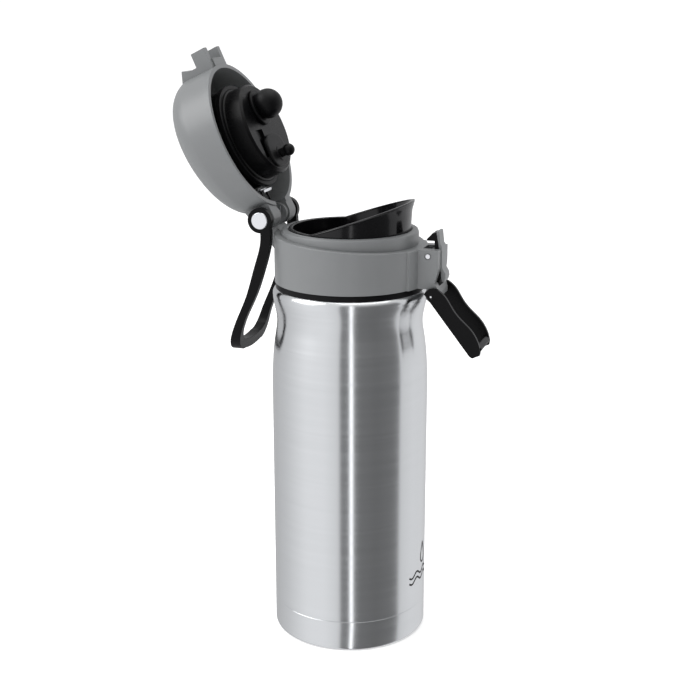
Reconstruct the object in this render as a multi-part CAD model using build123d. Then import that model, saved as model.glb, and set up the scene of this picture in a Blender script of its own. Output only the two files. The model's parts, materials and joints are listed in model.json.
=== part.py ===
from build123d import *
import math
import os

# Insulated steel bottle with a sprung flip lid, a hooked latch, a lock bail and a carry loop.
# Millimetres, +Z up. The origin is the centre of the underside. +X is the latch side, the hinge
# is on -X and its pin runs along Y. The lid is drawn open, as it stands on its stop.

# Steel flask
BODY_R = 35.0
WALL = 0.6
SEAM_Z = 13.9
RECESS_R = 27.5
RECESS_Z = 1.0
STRAIGHT_TOP = 113.0
WAIST_R = 32.5
WAIST_Z = 146.0
SHOULDER_R = 34.2
SHOULDER_Z = 158.0
BODY_TOP = 161.1
NECK_R = 29.2
NECK_TOP = 172.3
NECK_BORE_R = 26.5
LINER_R = 31.4
LINER_FLOOR = 8.0
THREAD_R = 30.3
THREAD_PITCH = 3.0

# Collar
GASKET_R = 32.9
COLLAR_R = 33.3
COLLAR_BORE_R = 30.9
COLLAR_BASE = 163.75
RIM_TILT = 3.9                      # the lid's seat slopes down to the front, degrees
RIM_Z = 182.8                       # height of the seat on the axis
DECK_Z = 174.35
RING_R = 30.3
RING_BORE_R = 27.05
RING_TOP = 187.0
PAD_R = 34.2
PAD_HALF_ANGLE = 25.0

# Hinge at the back
HINGE_X = -35.5
HINGE_Z = 191.0
HINGE_PIN_R = 1.25
HINGE_PIN_HALF = 16.5
KNUCKLE_R = 4.6
KNUCKLE_HALF = 5.5
POCKET_HALF = 3.4                   # half width of the hinge spring's pocket
LUG_IN = 5.9
LUG_OUT = 13.4
LUG_R = 5.2
CAP_R = 3.8
EYE_R = 5.5
EYE_IN = 14.9
EYE_OUT = 17.9
LOOP_LOW = 129.8
RUN_GAP = 0.05                      # radial clearance of a running fit

# Latch and lock bail at the front
CHEEK_IN = 4.1
CHEEK_OUT = 8.4
CHEEK_TOP = 180.7
LATCH_X = 37.5
LATCH_Z = 178.0
LATCH_PIN_R = 1.0
LATCH_SINK = 0.45                   # step of the counterbore round each end of the latch pin
LEVER_HALF = 3.8
BAIL_X = 39.6
BAIL_Z = 160.9
BAIL_PIN_R = 0.8
BAIL_TIP_R = 0.4                    # the bail pin's thin ends
BAIL_IN = 8.7
BAIL_OUT = 10.4
BAIL_TRAVEL = 139.0

# Spout insert
CUP_BORE_R = 24.2
CUP_FLOOR = 172.4
SKIRT_R = 25.6
SPOUT_R = 26.95
LIP_BASE_Z = 187.3
LIP_SLOPE = 0.335
LIP_START_X = -10.0
LIP_R = 28.4
LIP_TOP = 200.1

# Lid, in its own frame: x forward along the rim, z the height above the rim
LID_R = 33.2
LID_WALL = 1.8
LID_OPEN = 118.5
LID_SEAT_GAP = 0.3
LID_BOSS_HALF = 8.2
CROWN_R = 157.0
CROWN_X = 15.0
CROWN_TOP = 24.3
CROWN_BLEND = 10.0
CARRIER_R = 20.4
CARRIER_FACE = -8.0
FLANGE_R = 29.2
FLANGE_Z = 15.5
FLANGE_THICK = 1.6
FLANGE_CHORD = 18.3
DRINK_X = 9.2
VENT_X = -12.6
PLUG_R = 6.5
VENT_R = 2.7
SCREW_R = 25.6                      # radius of the circle that the screws stand on
SCREW_ANGLES = (72, 122, 238, 288)

parts = {}


def standing(radius, height):
    """Cylinder that stands on the plane z = 0."""
    return Cylinder(radius, height, align=(Align.CENTER, Align.CENTER, Align.MIN))


def ring(inner, outer, low, high):
    """Plain ring about Z."""
    hole = Pos(0, 0, low - 1) * standing(inner, high - low + 2)
    return Pos(0, 0, low) * standing(outer, high - low) - hole


def spin(points):
    """Solid of revolution about Z from a closed outline of (radius, height) points."""
    outline = Polyline(*[(x, 0, z) for x, z in points], close=True)
    return revolve(make_face(outline), axis=Axis.Z)


def slab(points, low, high):
    """Side outline in X and Z, as a solid from y = low to y = high."""
    outline = make_face(Polyline(*[(x, low, z) for x, z in points], close=True))
    return extrude(outline, amount=high - low, dir=(0, 1, 0))


def both_sides(shape):
    return shape + mirror(shape, about=Plane.XZ)


def rod(x, z, radius, low, high):
    """Round bar along Y from y = low to y = high."""
    middle = (low + high) / 2
    return Pos(x, middle, z) * Rot(90, 0, 0) * Cylinder(radius, high - low)


def block(x0, x1, y0, y1, z0, z1):
    centre = Pos((x0 + x1) / 2, (y0 + y1) / 2, (z0 + z1) / 2)
    return centre * Box(x1 - x0, y1 - y0, z1 - z0)


def below_seat():
    """Everything under the sloping seat of the lid."""
    return Pos(0, 0, RIM_Z) * Rot(0, RIM_TILT, 0) * (Pos(0, 0, -100) * Box(300, 300, 200))


# ---------------------------------------------------------------- steel flask

def side_curve(offset, low, neck_r):
    """Outer line of the flask from low to the neck, moved inwards by offset."""
    points = [
        (BODY_R, STRAIGHT_TOP), (34.82, 124.0), (34.3, 132.0), (33.5, 138.4), (WAIST_R, WAIST_Z),
        (32.8, 149.4), (33.6, 153.4), (SHOULDER_R, SHOULDER_Z),
    ]
    waist = [(r - offset, z) for r, z in points]
    straight = Line((BODY_R - offset, low), waist[0])
    curve = Spline(*waist, tangents=[(0, 1), (0, 1)])
    turn = RadiusArc(waist[-1], (SHOULDER_R - 1.4 - offset, BODY_TOP - offset), -(BODY_TOP - SHOULDER_Z))
    top = Line(turn @ 1, (neck_r, BODY_TOP - offset))
    return [straight, curve, turn, top]


def make_outer_shell():
    outer = side_curve(0, SEAM_Z + 0.2, NECK_R)
    inner = side_curve(WALL, SEAM_Z, NECK_R - WALL)
    chamfer_line = Line((BODY_R - 0.2, SEAM_Z), (BODY_R, SEAM_Z + 0.2))
    foot = Line((BODY_R - WALL, SEAM_Z), (BODY_R - 0.2, SEAM_Z))
    neck_out = Line((NECK_R, BODY_TOP), (NECK_R, NECK_TOP))
    lip = Line((NECK_R, NECK_TOP), (NECK_R - WALL, NECK_TOP))
    neck_in = Line((NECK_R - WALL, NECK_TOP), (NECK_R - WALL, BODY_TOP - WALL))
    face = make_face([foot, chamfer_line, *outer, neck_out, lip, neck_in, *inner])
    shell = revolve(Plane.XZ * face, axis=Axis.Z)
    first_thread = BODY_TOP + 3.6
    for turn in range(3):
        z = first_thread + turn * THREAD_PITCH
        r = NECK_R - 0.1
        shell += spin([(r, z - 0.9), (THREAD_R, z - 0.3), (THREAD_R, z + 0.3), (r, z + 0.9)])
    return shell


def make_base_cup():
    """Bottom cup, with a recess for the disc and a small hole that the vacuum seal closes."""
    r, t, hole_r = BODY_R, WALL, 1.2
    return spin([
        (hole_r, RECESS_Z), (RECESS_R, RECESS_Z), (RECESS_R, 0), (r - 1.3, 0), (r - 0.4, 0.4),
        (r, 1.3), (r, SEAM_Z - 0.2), (r - 0.2, SEAM_Z), (r - t, SEAM_Z), (r - t, 1.6),
        (r - 1.5, t), (RECESS_R + t, t), (RECESS_R + t, RECESS_Z + t), (hole_r, RECESS_Z + t),
    ])


def make_liner():
    inner_r = LINER_R - WALL
    waist_r = WAIST_R - 3.3
    low = LINER_FLOOR
    outside = [
        (LINER_R, low + 6), (LINER_R, 120), (waist_r, WAIST_Z - 3), (waist_r, 155),
        (NECK_BORE_R + WALL, BODY_TOP), (NECK_BORE_R + WALL, NECK_TOP - WALL),
        (NECK_R - WALL, NECK_TOP - WALL), (NECK_R - WALL, NECK_TOP),
    ]
    inside = [
        (NECK_BORE_R, NECK_TOP), (NECK_BORE_R, BODY_TOP - 0.3), (waist_r - WALL, 154.8),
        (waist_r - WALL, WAIST_Z - 3), (inner_r, 119.8), (inner_r, low + 6.3),
        (inner_r - 5.5, low + WALL), (0, low + WALL), (0, low), (LINER_R - 6, low),
    ]
    return spin(outside + inside)


parts["outer_shell"] = make_outer_shell()
parts["base_cup"] = make_base_cup()
parts["base_disc"] = standing(RECESS_R - 0.2, 0.95)
parts["vacuum_seal"] = Pos(0, 0, RECESS_Z + WALL) * standing(3.0, 0.8)
parts["inner_liner"] = make_liner()
parts["getter"] = Pos(12, 0, LINER_FLOOR - 2.2) * standing(5, 2.2)
parts["neck_gasket"] = fillet(
    ring(THREAD_R + 0.3, GASKET_R, BODY_TOP, COLLAR_BASE - 0.05).edges().group_by(Axis.Z)[-1], 0.4)


# ---------------------------------------------------------------- collar

def soften_seat_edge(body):
    """Rounds the outer edge of the sloping seat."""
    tilt = math.radians(RIM_TILT)
    seat = []
    for edge in body.edges():
        middle = edge @ 0.5
        on_seat = abs(middle.Z - RIM_Z + middle.X * math.tan(tilt)) < 0.01
        if on_seat and math.hypot(middle.X, middle.Y) > COLLAR_R - 0.01:
            seat.append(edge)
    return fillet(seat, 0.5)


def make_collar():
    high = RIM_Z + 8
    wall = ring(COLLAR_BORE_R, COLLAR_R, COLLAR_BASE, high)
    deck = ring(RING_BORE_R, COLLAR_R - 0.5, DECK_Z, high)
    reach = PAD_R * math.sin(math.radians(PAD_HALF_ANGLE))
    pad = ring(COLLAR_R - 1, PAD_R, COLLAR_BASE, high) & block(20, 50, -reach, reach, COLLAR_BASE, high)
    body = (wall + deck + pad) & below_seat()
    body = soften_seat_edge(body)
    raised = spin([
        (RING_BORE_R, DECK_Z), (RING_R, DECK_Z), (RING_R, RING_TOP - 1.4), (RING_R - 0.4, RING_TOP - 0.4),
        (RING_R - 1.3, RING_TOP), (RING_BORE_R + 0.5, RING_TOP), (RING_BORE_R, RING_TOP - 0.5),
    ])
    return body + raised


def make_bracket():
    """Two cheeks for the latch with the bail's lug below them."""
    outline = [
        (COLLAR_R - 1.2, COLLAR_BASE), (37.2, COLLAR_BASE), (37.0, 162.6), (BAIL_X - 2.6, BAIL_Z - 1.5),
        (BAIL_X - 1.0, BAIL_Z - 2.8), (BAIL_X + 1.2, BAIL_Z - 2.7), (BAIL_X + 2.8, BAIL_Z - 1.0),
        (BAIL_X + 2.9, BAIL_Z + 1.0), (41.6, 165.0), (40.5, 166.6), (41.1, 168.6), (41.8, 171.0),
        (42.1, 173.0), (42.1, CHEEK_TOP), (COLLAR_R - 1.2, CHEEK_TOP),
    ]
    whole = slab(outline, -CHEEK_OUT, CHEEK_OUT)
    slot = block(34.4, 50, -CHEEK_IN, CHEEK_IN, 164.5, 200)
    corner = whole.edges().filter_by(Axis.Y).group_by(Axis.X)[-1].group_by(Axis.Z)[-1]
    whole = fillet(corner, 0.5)
    return whole - slot


def make_knuckle():
    """Hinge block at the back, with a pocket for the spring."""
    web = [
        (-30.5, 176.0), (-33.0, 176.0), (-36.8, 180.5), (-38.8, 186.0), (-39.6, 189.0),
        (HINGE_X, HINGE_Z), (-33.5, 187.2), (-30.5, 185.0),
    ]
    web = slab(web, -KNUCKLE_HALF, KNUCKLE_HALF)
    barrel = rod(HINGE_X, HINGE_Z, KNUCKLE_R, -KNUCKLE_HALF, KNUCKLE_HALF)
    pocket = rod(HINGE_X, HINGE_Z, KNUCKLE_R + 0.6, -POCKET_HALF, POCKET_HALF)
    pocket += block(-39.0, -33.2, -POCKET_HALF, POCKET_HALF, 183.0, HINGE_Z)
    return web + barrel - pocket


def finish_collar():
    collar = make_collar() + make_bracket() + make_knuckle()
    collar -= rod(HINGE_X, HINGE_Z, HINGE_PIN_R, -10, 10)
    collar -= rod(LATCH_X, LATCH_Z, LATCH_PIN_R, -20, 20)
    for side in (-1, 1):
        collar -= rod(LATCH_X, LATCH_Z, LATCH_PIN_R + LATCH_SINK, *sorted((side * 7.8, side * 12)))
    collar -= rod(BAIL_X, BAIL_Z, BAIL_PIN_R, -20, 20)
    return collar


def make_spout():
    """Drinking insert: floor with two slots, a skirt for the seal, and a lip that rises to the front."""
    outside = [
        (SKIRT_R, 165.0), (SKIRT_R, 166.2), (SKIRT_R - 0.9, 166.2), (SKIRT_R - 0.9, 168.2),
        (SKIRT_R, 168.2), (SKIRT_R, 172.7), (29.9, 172.7), (29.9, DECK_Z - 0.05), (SPOUT_R, DECK_Z - 0.05),
        (SPOUT_R, 190.0), (27.3, 195.5), (LIP_R - 0.3, LIP_TOP - 1.6), (LIP_R, LIP_TOP + 0.6),
    ]
    inside = [
        (LIP_R - 1.6, LIP_TOP + 0.6), (26.2, 197.0), (25.5, 190.0), (CUP_BORE_R, 181.0),
        (CUP_BORE_R, CUP_FLOOR), (0, CUP_FLOOR), (0, CUP_FLOOR - 1.6), (SKIRT_R - 2.2, CUP_FLOOR - 1.6),
        (SKIRT_R - 2.2, 165.0),
    ]
    body = spin(outside + inside)
    angle = math.degrees(math.atan(LIP_SLOPE))
    over = Pos(LIP_START_X, 0, LIP_BASE_Z) * Rot(0, -angle, 0) * (Pos(0, 0, 50) * Box(200, 200, 100))
    over &= block(LIP_START_X, 60, -60, 60, 180, 260)
    over += block(-60, LIP_START_X, -60, 60, LIP_BASE_Z, 260)
    body -= over
    drink = slot_cut(DRINK_X - 1.0, DRINK_X + 3.4, PLUG_R + 0.4)
    vent = slot_cut(VENT_X - 1.0, VENT_X + 4.4, VENT_R + 0.4)
    return body - drink - vent


def slot_cut(x0, x1, radius):
    """Upright cutter for a slot in the cup's floor."""
    low, high = CUP_FLOOR - 6, CUP_FLOOR + 3
    tall = high - low
    middle = (low + high) / 2
    cut = Pos(x0, 0, middle) * Cylinder(radius, tall)
    cut += Pos(x1, 0, middle) * Cylinder(radius, tall)
    return cut + block(x0, x1, -radius, radius, low, high)


def make_torsion_spring(x, z, coil_r, wire_r, length, turns, leg_a, leg_b):
    """Coil along Y about (x, z), with a straight leg from each end."""
    start = Plane(origin=(x, -length / 2, z), x_dir=(1, 0, 0), z_dir=(0, 1, 0))
    path = start * Helix(length / turns, length, coil_r)
    section = Plane(origin=path @ 0, z_dir=path % 0) * Circle(wire_r)
    coil = sweep(section, path, is_frenet=True)
    for end, leg in ((path @ 0, leg_a), (path @ 1, leg_b)):
        run = Line(end, end + Vector(*leg))
        coil += sweep(Plane(origin=end, z_dir=Vector(*leg)) * Circle(wire_r), run)
    return coil


def make_latch_spring():
    """Small compression spring between the collar's wall and the lower end of the lever."""
    length = 3.9
    start = Plane(origin=(34.65, 0, 168.6), x_dir=(0, 1, 0), z_dir=(1, 0, 0))
    path = start * Helix(length / 5, length, 1.3)
    return sweep(Plane(origin=path @ 0, z_dir=path % 0) * Circle(0.2), path, is_frenet=True)


parts["collar"] = finish_collar()
parts["spout"] = make_spout()
parts["mouth_seal"] = fillet(ring(SKIRT_R - 0.9, 26.2, 166.25, 168.15).edges(), 0.25)
parts["hinge_pin"] = rod(HINGE_X, HINGE_Z, HINGE_PIN_R, -HINGE_PIN_HALF, HINGE_PIN_HALF)
parts["latch_pin"] = rod(LATCH_X, LATCH_Z, LATCH_PIN_R, -8.3, 8.3)
parts["bail_pin"] = rod(BAIL_X, BAIL_Z, BAIL_PIN_R, -9.8, 9.8) + rod(BAIL_X, BAIL_Z, BAIL_TIP_R, -10.3, 10.3)


def make_pin_cap():
    """Polished cap on the pin's end, whose hub carries the loop's eye."""
    hub = rod(HINGE_X, HINGE_Z, CAP_R, EYE_IN - 0.4, EYE_OUT + 0.3)
    hub = fillet(hub.edges().group_by(Axis.Y)[-1], 0.5)
    flange = rod(HINGE_X, HINGE_Z, 4.6, LUG_OUT + 0.3, EYE_IN - 0.4)
    return hub + flange - rod(HINGE_X, HINGE_Z, HINGE_PIN_R, 0, HINGE_PIN_HALF)


parts["pin_caps"] = both_sides(make_pin_cap())
parts["hinge_spring"] = make_torsion_spring(HINGE_X, HINGE_Z, 1.95, 0.3, 5.4, 7, (0, 0, -5), (0, 0, 3.5))
parts["latch_spring"] = make_latch_spring()


# ---------------------------------------------------------------- latch and bail

def make_lever():
    outline = [
        (35.7, 184.6), (35.7, 184.0), (39.2, 184.0), (39.3, 180.2), (37.5, 180.2), (35.6, 179.1),
        (35.3, 177.3), (36.5, 175.9), (38.8, 175.0), (38.8, 166.4), (41.6, 166.0), (42.3, 167.8),
        (42.1, 170.5), (41.2, 172.5), (41.2, 180.5), (39.9, 187.7), (38.2, 187.3),
    ]
    lever = slab(outline, -LEVER_HALF, LEVER_HALF)
    spring_gap = rod(LATCH_X, LATCH_Z, 2.1, -1.7, 1.7) + block(34, 39.6, -1.7, 1.7, 172, LATCH_Z)
    return lever - spring_gap - rod(LATCH_X, LATCH_Z, LATCH_PIN_R + RUN_GAP, -10, 10)


def make_button():
    outline = [
        (39.9, 187.7), (40.0, 188.2), (41.1, 188.2), (41.8, 182.6), (42.5, 181.6), (42.8, 172.4),
        (44.2, 170.0), (44.4, 168.2), (43.9, 166.5), (42.6, 166.2), (42.3, 167.8), (42.1, 170.5),
        (41.2, 172.5), (41.2, 180.5),
    ]
    plate = slab(outline, -LEVER_HALF, LEVER_HALF)
    return plate


def bail_outline():
    """Side shape of a bail arm as it hangs at rest: one straight edge and one wavy edge."""
    wavy = Spline(
        (43.4, 163.6), (46.9, 160.0), (49.4, 156.0), (52.8, 152.0), (57.6, 147.4), (60.4, 143.0),
        (61.8, 138.2),
    )
    tip = Polyline((61.8, 138.2), (61.6, 136.7), (58.3, 135.2), (57.0, 136.0))
    straight = Line((57.0, 136.0), (36.6, 161.9))
    nose = ThreePointArc((36.6, 161.9), (39.2, 164.4), (43.4, 163.6))
    return [wavy, tip, straight, nose]


def make_bail():
    profile = Plane.XZ * make_face(bail_outline())
    arm = Pos(0, -BAIL_IN, 0) * extrude(profile, amount=BAIL_OUT - BAIL_IN, dir=(0, -1, 0))
    arm -= rod(BAIL_X, BAIL_Z, BAIL_PIN_R + RUN_GAP, -(BAIL_OUT - 0.5), 0)
    arm -= rod(BAIL_X, BAIL_Z, BAIL_TIP_R + RUN_GAP, -12, 0)
    bar = Pos(60.2, 0, 139.0) * Rot(0, -BAIL_TRAVEL + 90, 0) * Box(3.1, 2 * BAIL_IN + 0.2, 3.2)
    bar = fillet(bar.edges().filter_by(Axis.Y), 0.7)
    return both_sides(arm) + bar


parts["latch_lever"] = make_lever()
parts["latch_button"] = make_button()
parts["lock_bail"] = make_bail()


# ---------------------------------------------------------------- carry loop

def loop_side():
    """Side outline of the loop in X and Z: it hangs down and bows away from the flask."""
    front = Spline(
        (-31.0, 190.0), (-30.6, 182.5), (-33.4, 170.5), (-38.5, 156.1), (-43.2, 146.1), (-45.7, 138.0),
        (-47.2, 128.0),
    )
    back = Spline(
        (-52.2, 128.0), (-50.5, 137.0), (-48.1, 144.1), (-42.9, 156.0), (-38.2, 171.0), (-35.3, 182.0),
        (-36.2, 190.0),
    )
    return make_face([front, Line(front @ 1, back @ 0), back, Line(back @ 1, front @ 0)])


def loop_front(half, top, low, corner):
    """Front outline of the loop in Y and Z: straight sides, rounded corners and a slightly bowed foot."""
    side_z = low + corner
    foot_y = half - corner
    foot_z = low + 0.8
    bend = corner * (1 - math.sqrt(0.5))
    sides = []
    for way in (-1, 1):
        sides.append(Line((way * half, top), (way * half, side_z)))
        sides.append(ThreePointArc((way * half, side_z), (way * (half - bend), low + bend + 0.5),
                                   (way * foot_y, foot_z)))
    foot = ThreePointArc((-foot_y, foot_z), (0, low), (foot_y, foot_z))
    return make_face([*sides, foot, Line((-half, top), (half, top))])


def make_carry_loop():
    """Moulded loop: two eyes on the pin caps, two bowed arms and a rounded foot."""
    sheet = extrude(Plane.XZ * loop_side(), amount=30, both=True)
    outer = extrude(Plane.YZ * loop_front(EYE_OUT, 190, LOOP_LOW, 9), amount=80, both=True)
    inner = extrude(Plane.YZ * loop_front(EYE_IN, 200, LOOP_LOW + 4.3, 7.5), amount=90, both=True)
    loop = sheet & (outer - inner)
    for low in (-EYE_OUT, EYE_IN):
        loop += rod(HINGE_X, HINGE_Z, EYE_R, low, low + EYE_OUT - EYE_IN)
        loop -= rod(HINGE_X, HINGE_Z, CAP_R + RUN_GAP, low - 1, low + EYE_OUT - EYE_IN + 1)
    return loop


parts["carry_loop"] = make_carry_loop()


# ---------------------------------------------------------------- lid

def dome(radius, shrink, blend):
    """Crowned round cap on the rim plane."""
    body = standing(radius, 40)
    crown = Pos(CROWN_X, 0, CROWN_TOP - CROWN_R) * Sphere(CROWN_R - shrink)
    body = body & crown
    top = body.edges().group_by(Axis.Z)[1:]
    rim = [e for group in top for e in group if e.bounding_box().min.Z > 5]
    return fillet(rim, blend)


def lid_hinge():
    """Hinge axis in the lid's own frame, as (x, z)."""
    tilt = math.radians(RIM_TILT)
    dx = HINGE_X
    dz = HINGE_Z - RIM_Z - LID_SEAT_GAP
    return dx * math.cos(tilt) - dz * math.sin(tilt), dx * math.sin(tilt) + dz * math.cos(tilt)


HX, HZ = lid_hinge()


def cavity(extra=0.0):
    """Space inside the lid's wall, less a margin of extra."""
    radius = LID_R - LID_WALL - extra
    inner = dome(radius, LID_WALL + extra, CROWN_BLEND - LID_WALL)
    return inner + Pos(0, 0, -10) * standing(radius, 11)


def screw_spots():
    """Places of the four screws round the carrier, on the rim plane."""
    return [Rot(0, 0, angle) * Pos(SCREW_R, 0, 0) for angle in SCREW_ANGLES]


def make_lid_shell():
    shell = dome(LID_R, 0, CROWN_BLEND)
    boss = slab([(28, 8.4), (35.3, 8.4), (35.2, 10.6), (35.6, 12.8), (36.7, 15.2), (31.0, 17.4), (26, 16)],
                -LID_BOSS_HALF, LID_BOSS_HALF)
    tab = slab([(30, 1.0), (41.6, 1.0), (41.4, 8.0), (35.3, 8.0), (35.3, 9.0), (30, 9.0)],
               -LID_BOSS_HALF, -5.4)
    catch = slab([(30, 0.3), (36.2, 0.3), (36.6, 0.8), (36.6, 2.8), (36.2, 3.2), (30, 3.2)], -5.5, 5.5)
    shell += boss + both_sides(tab) + catch
    lug = rod(HX, HZ, LUG_R, -LUG_OUT, -LUG_IN)
    lug += slab([(HX, HZ - LUG_R), (-26, 0.8), (-24, 14), (HX, HZ + LUG_R)], -LUG_OUT, -LUG_IN)
    shell += both_sides(lug)
    shell -= cavity()
    for spot in screw_spots():
        post = Pos(0, 0, FLANGE_Z + FLANGE_THICK + 0.05) * spot * standing(2.9, 12)
        shell += post & dome(LID_R - 0.6, 0.6, CROWN_BLEND - 0.6)
        shell -= Pos(0, 0, FLANGE_Z) * spot * Cylinder(1.2, 6.4)
    knuckle_room = rod(HX, HZ, KNUCKLE_R + 0.45, -LUG_IN, LUG_IN)
    knuckle_room += block(-45, -29, -LUG_IN, LUG_IN, -5, HZ)
    shell -= knuckle_room
    return shell - rod(HX, HZ, HINGE_PIN_R + RUN_GAP, -20, 20)


def make_carrier():
    """Stepped plug carrier with a flange that fits up in the dome."""
    body = spin([
        (0, FLANGE_Z + FLANGE_THICK), (FLANGE_R, FLANGE_Z + FLANGE_THICK), (FLANGE_R, FLANGE_Z),
        (23.0, FLANGE_Z),
        (22.4, 4.2), (21.4, 3.4), (21.4, 0.6), (CARRIER_R + 0.3, 0.2), (CARRIER_R, CARRIER_FACE + 1.0),
        (CARRIER_R - 1.0, CARRIER_FACE), (0, CARRIER_FACE),
    ])
    body -= Pos(0, 0, CARRIER_FACE + 2) * standing(CARRIER_R - 2.2, 40)
    body -= block(FLANGE_CHORD, 60, -60, 60, FLANGE_Z - 0.01, 60)
    body &= cavity(0.4)
    dent = block(-12, 0.5, -3.6, 3.6, CARRIER_FACE - 1, CARRIER_FACE + 1.2)
    body -= Pos(-0.5, -10.0, 0) * dent
    for x, r in ((DRINK_X, 3.0), (VENT_X, 1.4)):
        body -= Pos(x, 0, CARRIER_FACE) * Cylinder(r, 8)
    for spot in screw_spots():
        body -= Pos(0, 0, FLANGE_Z) * spot * Cylinder(1.3, 8)
    return body


def make_screws():
    """Pan head screws up through the carrier's flange."""
    group = None
    for spot in screw_spots():
        head = Pos(0, 0, FLANGE_Z - 1.2) * standing(2.3, 1.2)
        shank = Pos(0, 0, FLANGE_Z) * standing(1.2, 3.2)
        recess = Pos(0, 0, FLANGE_Z - 1.2) * (Box(2.6, 0.6, 1.2) + Box(0.6, 2.6, 1.2))
        screw = spot * (head + shank - recess)
        group = screw if group is None else group + screw
    return group


def make_plug(x, ball_r, drop, flange_r, stem_r, hole_r):
    """Soft knob with a ball end, a flange on the carrier's face and a stem held behind it."""
    face = CARRIER_FACE
    below_face = Pos(x, 0, face - 20) * Box(40, 40, 40)
    ball = (Pos(x, 0, face - drop) * Sphere(ball_r)) & below_face
    flange = Pos(x, 0, face - 1.4) * standing(flange_r, 1.4)
    neck = Pos(x, 0, face - drop) * standing(stem_r, drop)
    tail = Pos(x, 0, face) * standing(hole_r, 2.0)
    button = Pos(x, 0, face + 2.0) * standing(hole_r + 1, 1.0)
    return ball + fillet(flange.edges(), 0.5) + neck + tail + button


def make_clip():
    """Bent steel clip beside the hinge."""
    return slab([(-25.5, 3.7), (-24.3, 3.3), (-24.4, 10.5), (-28.4, 10.5), (-28.4, 9.3), (-25.6, 9.3)],
                -4.5, 4.5)


lid = {
    "lid_cover": make_lid_shell(),
    "seal_carrier": make_carrier(),
    "carrier_gasket": fillet(ring(21.4, 23.5, 0.7, 3.3).edges(), 0.5),
    "carrier_screws": make_screws(),
    "spout_plug": make_plug(DRINK_X, PLUG_R, 4.8, 8.0, 5.2, 3.0),
    "vent_plug": make_plug(VENT_X, VENT_R, 5.2, 3.6, 2.0, 1.4),
    "spring_clip": make_clip(),
}
to_closed = Pos(0, 0, RIM_Z + LID_SEAT_GAP) * Rot(0, RIM_TILT, 0)
to_open = Pos(HINGE_X, 0, HINGE_Z) * Rot(0, -LID_OPEN, 0) * Pos(-HINGE_X, 0, -HINGE_Z)
for name, shape in lid.items():
    parts[name] = to_open * to_closed * shape


os.makedirs("parts", exist_ok=True)
for name, shape in parts.items():
    export_step(shape, f"parts/{name}.step")
    print(name, len(shape.solids()), round(shape.volume, 1))
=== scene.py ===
"""Looks of the insulated steel bottle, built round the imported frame. Metres, +Z up."""
import json
import math

import bmesh
import bpy
from mathutils import Matrix, Vector


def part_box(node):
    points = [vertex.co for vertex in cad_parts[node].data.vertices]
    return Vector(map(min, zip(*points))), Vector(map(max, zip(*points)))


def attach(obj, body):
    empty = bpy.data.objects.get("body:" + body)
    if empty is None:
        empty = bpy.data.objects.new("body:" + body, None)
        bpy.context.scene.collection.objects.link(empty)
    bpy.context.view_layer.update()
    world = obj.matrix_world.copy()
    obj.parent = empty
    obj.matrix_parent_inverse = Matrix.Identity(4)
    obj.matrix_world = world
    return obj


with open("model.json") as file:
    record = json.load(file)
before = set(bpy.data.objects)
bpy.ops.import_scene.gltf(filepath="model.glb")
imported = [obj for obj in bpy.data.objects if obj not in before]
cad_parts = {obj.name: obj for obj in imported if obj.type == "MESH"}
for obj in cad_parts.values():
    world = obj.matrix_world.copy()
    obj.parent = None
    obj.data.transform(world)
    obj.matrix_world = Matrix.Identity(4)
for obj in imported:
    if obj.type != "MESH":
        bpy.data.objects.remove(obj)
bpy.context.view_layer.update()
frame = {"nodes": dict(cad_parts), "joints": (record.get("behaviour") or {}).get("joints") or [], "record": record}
nodes = frame["nodes"]

MM = 0.001
CAMERA_PLACE = Vector((0.1727, -0.5315, 0.2889))
CAMERA_PITCH = 0.2750
CAMERA_AZIMUTH = math.radians(18)
CAMERA_LENS = 66.33


# ---------------------------------------------------------------- camera, floor and light

def make_camera():
    data = bpy.data.cameras.new("camera")
    data.lens = CAMERA_LENS
    data.sensor_width = 36
    data.clip_start = 0.01
    camera = bpy.data.objects.new("camera", data)
    camera.location = CAMERA_PLACE
    camera.rotation_euler = (math.pi / 2 - CAMERA_PITCH, 0, CAMERA_AZIMUTH)
    bpy.context.scene.collection.objects.link(camera)
    bpy.context.scene.camera = camera


# Brightness of the studio all round the bottle: degrees to the right of the camera, brightness
STUDIO = (
    (-180, 0.50), (-146, 0.58), (-110, 0.74), (-70, 0.98), (-40, 1.00), (-24, 0.90), (-16, 0.84),
    (-14, 0.27), (-6, 0.25), (-1, 0.26), (0.4, 2.3), (3.4, 2.3), (4.8, 0.32), (9, 0.25), (16, 0.20),
    (40, 0.17), (66, 0.20), (75, 0.25), (77, 0.27), (80, 0.80), (107, 0.90), (138, 0.84), (180, 0.50),
)
OVERHEAD_LIGHT = 0.95


def node(tree, kind, **values):
    """New shader node; keys starting with an upper case letter are input sockets."""
    made = tree.nodes.new("ShaderNode" + kind)
    for key, value in values.items():
        if key[0].isupper():
            made.inputs[key.replace("_", " ")].default_value = value
        else:
            setattr(made, key, value)
    return made


def maths(tree, operation, first, second):
    made = node(tree, "Math", operation=operation)
    for socket, value in zip(made.inputs, (first, second)):
        if hasattr(value, "is_output"):
            tree.links.new(value, socket)
        else:
            socket.default_value = value
    return made.outputs[0]


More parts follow.
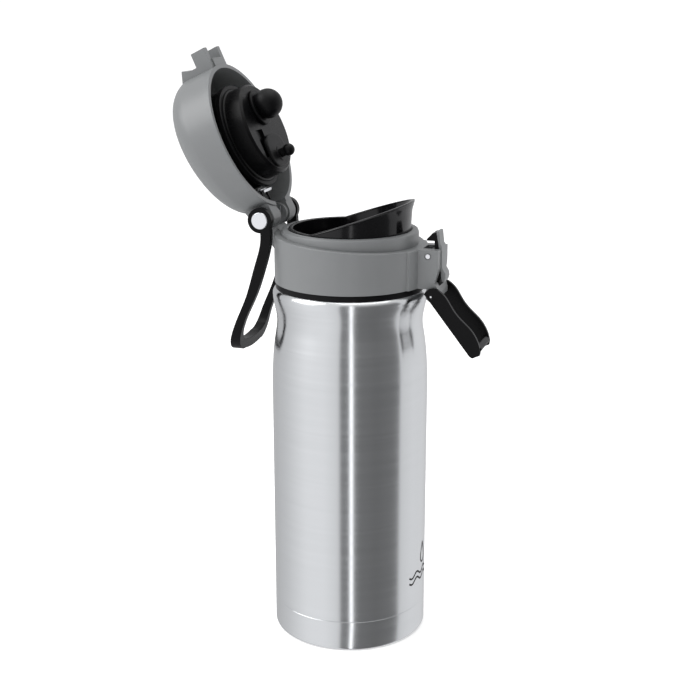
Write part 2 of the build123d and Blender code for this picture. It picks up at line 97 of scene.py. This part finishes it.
def make_studio():
    """World light from the STUDIO levels, with an even light overhead; the camera itself sees white."""
    world = bpy.data.worlds.new("studio")
    bpy.context.scene.world = world
    world.use_nodes = True
    tree = world.node_tree
    tree.nodes.clear()
    link = tree.links.new
    axes = node(tree, "SeparateXYZ")
    link(node(tree, "TexCoord").outputs["Generated"], axes.inputs[0])
    forward = maths(tree, "MULTIPLY", axes.outputs["Y"], -1.0)
    angle = maths(tree, "ARCTAN2", axes.outputs["X"], forward)
    turn = maths(tree, "SUBTRACT", angle, CAMERA_AZIMUTH)
    turn = maths(tree, "DIVIDE", turn, 2 * math.pi)
    turn = maths(tree, "FRACT", maths(tree, "ADD", turn, 0.5), 0.0)
    ramp = node(tree, "ValToRGB")
    bar = ramp.color_ramp
    bar.interpolation = "LINEAR"
    for degrees, level in STUDIO[1:-1]:
        bar.elements.new((degrees + 180) / 360)
    for element, (degrees, level) in zip(bar.elements, STUDIO):
        element.position = (degrees + 180) / 360
        element.color = (level, level, level * 1.02, 1)
    link(turn, ramp.inputs[0])
    up = node(tree, "Mix", data_type="RGBA")
    rise = node(tree, "MapRange", From_Min=0.35, From_Max=0.85)
    link(axes.outputs["Z"], rise.inputs[0])
    link(rise.outputs[0], up.inputs[0])
    link(ramp.outputs[0], up.inputs[6])
    up.inputs[7].default_value = (OVERHEAD_LIGHT, OVERHEAD_LIGHT, OVERHEAD_LIGHT, 1)
    seen = node(tree, "Background", Color=(1, 1, 1, 1))
    lit = node(tree, "Background")
    link(up.outputs[2], lit.inputs[0])
    mix = node(tree, "MixShader")
    link(node(tree, "LightPath").outputs["Is Camera Ray"], mix.inputs[0])
    link(lit.outputs[0], mix.inputs[1])
    link(seen.outputs[0], mix.inputs[2])
    link(mix.outputs[0], node(tree, "OutputWorld").inputs[0])


def area_light(name, place, aim, size, power):
    data = bpy.data.lights.new(name, "AREA")
    data.shape = "RECTANGLE"
    data.size, data.size_y = size
    data.energy = power
    lamp = bpy.data.objects.new(name, data)
    lamp.location = place
    lamp.rotation_euler = (Vector(aim) - Vector(place)).to_track_quat("-Z", "Y").to_euler()
    bpy.context.scene.collection.objects.link(lamp)


def make_floor():
    """Wide pale floor that the polished surfaces don't mirror."""
    bpy.ops.mesh.primitive_plane_add(size=60, location=(0, 0, -0.0002))
    floor = bpy.context.object
    floor.name = "floor"
    material = bpy.data.materials.new("pale_floor")
    material.use_nodes = True
    shader = material.node_tree.nodes["Principled BSDF"]
    shader.inputs["Base Color"].default_value = (0.93, 0.93, 0.93, 1)
    shader.inputs["Roughness"].default_value = 0.9
    shader.inputs["Specular IOR Level"].default_value = 0.1
    shader.inputs["Emission Color"].default_value = (1, 1, 1, 1)
    shader.inputs["Emission Strength"].default_value = 0.3
    floor.data.materials.append(material)
    floor.visible_glossy = False


# ---------------------------------------------------------------- materials

def surface(name, colour, rough, metal=0.0, vary=0.08, rough_vary=0.06, blotch=70.0, grain=1800.0,
            bump=0.08, stretch=(1, 1, 1), tangent=False, **sockets):
    """Procedural finish: slow colour and roughness variation, and a fine grain as bump."""
    material = bpy.data.materials.new(name)
    material.use_nodes = True
    tree = material.node_tree
    link = tree.links.new
    shader = tree.nodes["Principled BSDF"]
    shader.inputs["Metallic"].default_value = metal
    for key, value in sockets.items():
        shader.inputs[key.replace("_", " ")].default_value = value
    place = node(tree, "Mapping", Scale=stretch)
    link(node(tree, "TexCoord").outputs["Object"], place.inputs[0])
    slow = node(tree, "TexNoise", Scale=blotch, Detail=4.0, Roughness=0.6)
    link(place.outputs[0], slow.inputs["Vector"])
    fine = node(tree, "TexNoise", Scale=grain, Detail=3.0, Roughness=0.55)
    link(place.outputs[0], fine.inputs["Vector"])
    mixed = node(tree, "Mix", data_type="RGBA")
    mixed.inputs[6].default_value = [c * (1 - vary) for c in colour] + [1]
    mixed.inputs[7].default_value = [min(1, c * (1 + vary)) for c in colour] + [1]
    both = maths(tree, "MULTIPLY", maths(tree, "ADD", slow.outputs[0], fine.outputs[0]), 0.5)
    link(both, mixed.inputs[0])
    link(mixed.outputs[2], shader.inputs["Base Color"])
    rougher = node(tree, "MapRange", From_Min=0.3, From_Max=0.7, To_Min=rough - rough_vary,
                   To_Max=rough + rough_vary)
    link(both, rougher.inputs[0])
    link(rougher.outputs[0], shader.inputs["Roughness"])
    relief = node(tree, "Bump", Strength=bump, Distance=0.0002)
    link(fine.outputs[0], relief.inputs["Height"])
    link(relief.outputs[0], shader.inputs["Normal"])
    if tangent:
        around = node(tree, "Tangent", direction_type="RADIAL", axis="Z")
        link(around.outputs[0], shader.inputs["Tangent"])
    return material


BRUSH = (10, 10, 700)
steel = surface("brushed_steel", (0.675, 0.69, 0.70), 0.22, 1.0, vary=0.07, rough_vary=0.05, blotch=0.30,
                grain=1.25, bump=0.025, stretch=BRUSH, tangent=True, Anisotropic=0.85,
                Anisotropic_Rotation=0.25)
inner_steel = surface("inner_steel", (0.55, 0.56, 0.58), 0.34, 1.0, vary=0.05, blotch=0.3, grain=1.1,
                      bump=0.03, stretch=BRUSH, tangent=True, Anisotropic=0.6, Anisotropic_Rotation=0.25)
bead = surface("seal_bead", (0.22, 0.22, 0.23), 0.5, 0.3, vary=0.2, blotch=900, grain=3000, bump=0.3)
polished = surface("polished_steel", (0.80, 0.81, 0.83), 0.16, 1.0, vary=0.04, rough_vary=0.05, blotch=400,
                   grain=3500, bump=0.03)
wire = surface("spring_steel", (0.56, 0.57, 0.59), 0.3, 1.0, vary=0.1, blotch=900, grain=5000, bump=0.1)
grey = surface("grey_plastic", (0.175, 0.181, 0.184), 0.36, vary=0.06, rough_vary=0.05, blotch=120,
               grain=4200, bump=0.10, Specular_IOR_Level=0.5)
black = surface("black_plastic", (0.0022, 0.0022, 0.0025), 0.30, vary=0.2, rough_vary=0.06, blotch=160,
                grain=3600, bump=0.16, Specular_IOR_Level=0.13)
gloss = surface("black_gloss", (0.003, 0.003, 0.0035), 0.14, vary=0.2, rough_vary=0.04, blotch=90, grain=900,
                bump=0.02, Specular_IOR_Level=0.35)
rubber = surface("black_rubber", (0.003, 0.003, 0.0035), 0.40, vary=0.2, rough_vary=0.07, blotch=200,
                 grain=3200, bump=0.14, Specular_IOR_Level=0.15)
ink = surface("printed_ink", (0.004, 0.004, 0.004), 0.5, vary=0.2, blotch=500, grain=2500, bump=0.05,
              Specular_IOR_Level=0.3)
FINISHES = {
    "brushed_steel": steel, "inner_steel": inner_steel, "seal_bead": bead, "polished_steel": polished,
    "spring_steel": wire, "grey_plastic": grey, "black_plastic": black, "black_gloss": gloss,
    "black_rubber": rubber,
}


def finish_nodes():
    """Every CAD node gets its slot's procedural finish."""
    for part in frame["record"]["subparts"]:
        obj = nodes[part["node"]]
        for slot in obj.material_slots:
            slot.material = FINISHES[part["material_slot"]]


# ---------------------------------------------------------------- rounded edges of the CAD parts

EDGE_ROUNDING = {
    "collar": 0.35, "lid_cover": 0.4, "spout": 0.25, "carry_loop": 0.7, "lock_bail": 0.5, "latch_lever": 0.4,
    "latch_button": 0.5, "seal_carrier": 0.3, "spring_clip": 0.15, "base_cup": 0.1,
}
SHARP_ANGLE = math.radians(35)
SMOOTH_ANGLE = math.radians(40)
WELD_DISTANCE = 0.01 * MM


def round_edges():
    """Small moulded radii on the sharp edges, as modifiers."""
    for name, width in EDGE_ROUNDING.items():
        obj = nodes[name]
        weld = obj.modifiers.new("weld", "WELD")
        weld.merge_threshold = WELD_DISTANCE
        bevel = obj.modifiers.new("edge_radius", "BEVEL")
        bevel.width = width * MM
        bevel.segments = 3
        bevel.limit_method = "ANGLE"
        bevel.angle_limit = SHARP_ANGLE
        obj.modifiers.new("normals", "WEIGHTED_NORMAL")


# ---------------------------------------------------------------- pieces

def piece(name, mesh, body, finish):
    """New mesh object in the frame, with smooth shading, riding on a body."""
    obj = bpy.data.objects.new(name, mesh)
    bpy.context.scene.collection.objects.link(obj)
    mesh.materials.append(finish)
    mesh.shade_smooth()
    mesh.set_sharp_from_angle(angle=SMOOTH_ANGLE)
    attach(obj, body)
    return obj


def grid_mesh(name, rows, join_ends=False):
    """Closed skin over rows of points, each row a ring: the end rows are joined up or capped."""
    count = len(rows[0])
    points = [point for row in rows for point in row]
    faces = []
    for row in range(len(rows) if join_ends else len(rows) - 1):
        for step in range(count):
            after = (step + 1) % count
            below = (row + 1) % len(rows)
            faces.append((row * count + step, row * count + after, below * count + after,
                          below * count + step))
    mesh = bpy.data.meshes.new(name)
    mesh.from_pydata(points, [], faces)
    clean = bmesh.new()
    clean.from_mesh(mesh)
    bmesh.ops.holes_fill(clean, edges=clean.edges, sides=0)
    bmesh.ops.recalc_face_normals(clean, faces=clean.faces)
    clean.to_mesh(mesh)
    clean.free()
    return mesh


# Drinking lip in millimetres: it is level behind LIP_START and slopes up in front of it
LIP_BASE = 187.3
LIP_SLOPE = 0.335
LIP_START = -10.0
LIP_RISE = 13.0
LIP_MIDDLE = ((187.3, 26.03), (190.0, 26.22), (196.0, 26.75), (200.4, 27.55))   # (height, radius)
BEAD_HALF = 0.98
BEAD_TAPER = 0.10                   # how much thinner the bead is at the top of the lip
BEAD_DROP = 0.40                    # how far the bead's middle lies below the lip's edge
BEAD_FLATTEN = 0.43                 # how much lower the bead is than it is wide, to clear the shut lid
BEAD_STEPS = 160
BEAD_SIDES = 16


def blend(z, table):
    """Straight-line value at z from (z, value) pairs."""
    for (z0, v0), (z1, v1) in zip(table, table[1:]):
        if z <= z1:
            return v0 + (v1 - v0) * (z - z0) / (z1 - z0)
    return table[-1][1]


def make_lip_bead():
    """Full round on the drinking lip, following its slope."""
    rows = []
    for step in range(BEAD_STEPS):
        angle = 2 * math.pi * step / BEAD_STEPS
        radius = LIP_MIDDLE[0][1]
        for _ in range(4):
            z = LIP_BASE + LIP_SLOPE * max(0.0, radius * math.cos(angle) - LIP_START)
            radius = blend(z, LIP_MIDDLE)
        half = BEAD_HALF - BEAD_TAPER * (z - LIP_BASE) / LIP_RISE
        ring = []
        for turn in range(BEAD_SIDES):
            t = 2 * math.pi * turn / BEAD_SIDES
            r = radius + half * math.cos(t)
            height = z - BEAD_DROP + (half - BEAD_FLATTEN) * math.sin(t)
            ring.append((r * math.cos(angle) * MM, r * math.sin(angle) * MM, height * MM))
        rows.append(ring)
    piece("lip_bead", grid_mesh("lip_bead", rows, join_ends=True), "collar_assembly", gloss)


# The lid's own frame, as it stands open: x forward along the rim, z above the rim
HINGE = Vector(next(j["pos_m"] for j in frame["joints"] if j["name"] == "lid_hinge"))
LID_OPEN = math.radians(118.5)
RIM_TILT = math.radians(3.9)
RIM_HEIGHT = 183.1 * MM
LID = (Matrix.Translation(HINGE) @ Matrix.Rotation(-LID_OPEN, 4, "Y") @ Matrix.Translation(-HINGE)
       @ Matrix.Translation((0, 0, RIM_HEIGHT)) @ Matrix.Rotation(RIM_TILT, 4, "Y"))


def pillow(name, outline, layers):
    """Closed plate in the XY plane: outline(inset) gives a ring, layers are (inset, height)."""
    return grid_mesh(name, [[(x, y, z) for x, y in outline(inset)] for inset, z in layers])


def rounded_square(half_x, half_y, power=4.0, steps=64):
    """Outline function of a superellipse."""
    def ring(inset):
        points = []
        for step in range(steps):
            t = 2 * math.pi * step / steps
            c, s = math.cos(t), math.sin(t)
            x = math.copysign(abs(c) ** (2 / power), c) * (half_x - inset)
            y = math.copysign(abs(s) ** (2 / power), s) * (half_y - inset)
            points.append((x * MM, y * MM))
        return points
    return ring


def make_vent_pad():
    """Soft pad round the small vent plug on the carrier's face."""
    layers = [(0, 0.3), (0, -0.5), (0.1, -0.8), (0.35, -1.0), (0.8, -1.1), (1.6, -1.12)]
    mesh = pillow("vent_pad", rounded_square(7.4, 9.6, 3.2), [(i, z * MM) for i, z in layers])
    mesh.transform(LID @ Matrix.Translation((-10.6 * MM, -0.6 * MM, -8 * MM)))
    piece("vent_pad", mesh, "cover", rubber)


def strip(name, path, half_width, thick, body, finish, place):
    """Bent flat strip: path in X and Z (millimetres), width along Y."""
    rows = []
    for index, (x, z) in enumerate(path):
        x0, z0 = path[max(0, index - 1)]
        x1, z1 = path[min(len(path) - 1, index + 1)]
        along = Vector((x1 - x0, 0, z1 - z0)).normalized()
        off = Vector((-along.z, 0, along.x)) * thick / 2
        middle = Vector((x, 0, z))
        side = Vector((0, half_width, 0))
        rows.append([tuple(p * MM) for p in (middle + off - side, middle + off + side, middle - off + side,
                                             middle - off - side)])
    mesh = grid_mesh(name, rows)
    mesh.transform(place)
    obj = piece(name, mesh, body, finish)
    bevel = obj.modifiers.new("edge_radius", "BEVEL")
    bevel.width = min(half_width, thick) * 0.3 * MM
    bevel.segments = 2


def make_clip_parts():
    """Bright leaf of the spring clip, and the two dark bars that hold it."""
    leaf = [(-23.9, 3.6), (-23.8, 5.2), (-24.0, 6.8), (-24.8, 7.6), (-26.0, 7.9)]
    strip("clip_leaf", leaf, 3.4, 0.5, "cover", polished,
          LID @ Matrix.Translation((0, -4.0 * MM, 0)))
    for index, y in enumerate((-5.6, 0.4)):
        bar = [(-24.6, 4.5), (-26.6, 4.7), (-29.2, 4.5)]
        strip(f"clip_bar_{index + 1}", bar, 0.45, 0.9, "cover", black,
              LID @ Matrix.Translation((0, y * MM, 0)))


BODY_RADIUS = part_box("outer_shell")[1].x
MARK_HEIGHT = 32.0 * MM
DROP_HALF_WIDTH = 3.4
DROP_HALF_HEIGHT = 5.0
DROP_MIDDLE = 6.0
WAVE_HEIGHTS = (-2.6, -5.4)
WAVE_SWING = 1.1
WAVE_LENGTH = 8.8
INK_THICK = 0.035
INK_SUNK = 0.005
LINE_WIDTH = 0.9


def ink_stroke(name, points, width):
    """Thin printed line on the flask, from (distance round, height) points in millimetres."""
    rows = []
    for index, (u, v) in enumerate(points):
        u0, v0 = points[max(0, index - 1)]
        u1, v1 = points[min(len(points) - 1, index + 1)]
        length = math.hypot(u1 - u0, v1 - v0)
        nu, nv = -(v1 - v0) / length * width / 2, (u1 - u0) / length * width / 2
        ring = []
        for side, lift in ((1, 0.0), (1, INK_THICK), (-1, INK_THICK), (-1, 0.0)):
            around = (u + side * nu) * MM / BODY_RADIUS
            radius = BODY_RADIUS + (lift - INK_SUNK) * MM
            ring.append((radius * math.cos(around), radius * math.sin(around),
                         MARK_HEIGHT + (v + side * nv) * MM))
        rows.append(ring)
    piece(name, grid_mesh(name, rows), "bottle", ink)


def make_mark():
    """Plain printed sign of a drop over two waves, on the front of the flask."""
    drop = []
    for step in range(41):
        t = 2 * math.pi * step / 40
        drop.append((DROP_HALF_WIDTH * math.sin(t) * math.sin(t / 2) ** 1.5,
                     DROP_HALF_HEIGHT * math.cos(t) + DROP_MIDDLE))
    ink_stroke("mark_drop", drop[:-1] + [drop[0]], LINE_WIDTH)
    for index, height in enumerate(WAVE_HEIGHTS):
        wave = []
        for step in range(-26, 27):
            along = step * 0.5
            wave.append((along, height + WAVE_SWING * math.sin(2 * math.pi * along / WAVE_LENGTH)))
        ink_stroke(f"mark_wave_{index + 1}", wave, LINE_WIDTH)


make_camera()
make_studio()
make_floor()
area_light("key", (-0.9, -0.5, 1.0), (0, 0, 0.15), (0.9, 0.9), 9)
area_light("top", (0.1, 0.1, 1.4), (0, 0, 0.1), (1.2, 1.2), 6)
finish_nodes()
round_edges()
make_lip_bead()
make_vent_pad()
make_clip_parts()
make_mark()

bpy.context.scene.view_settings.view_transform = "Standard"
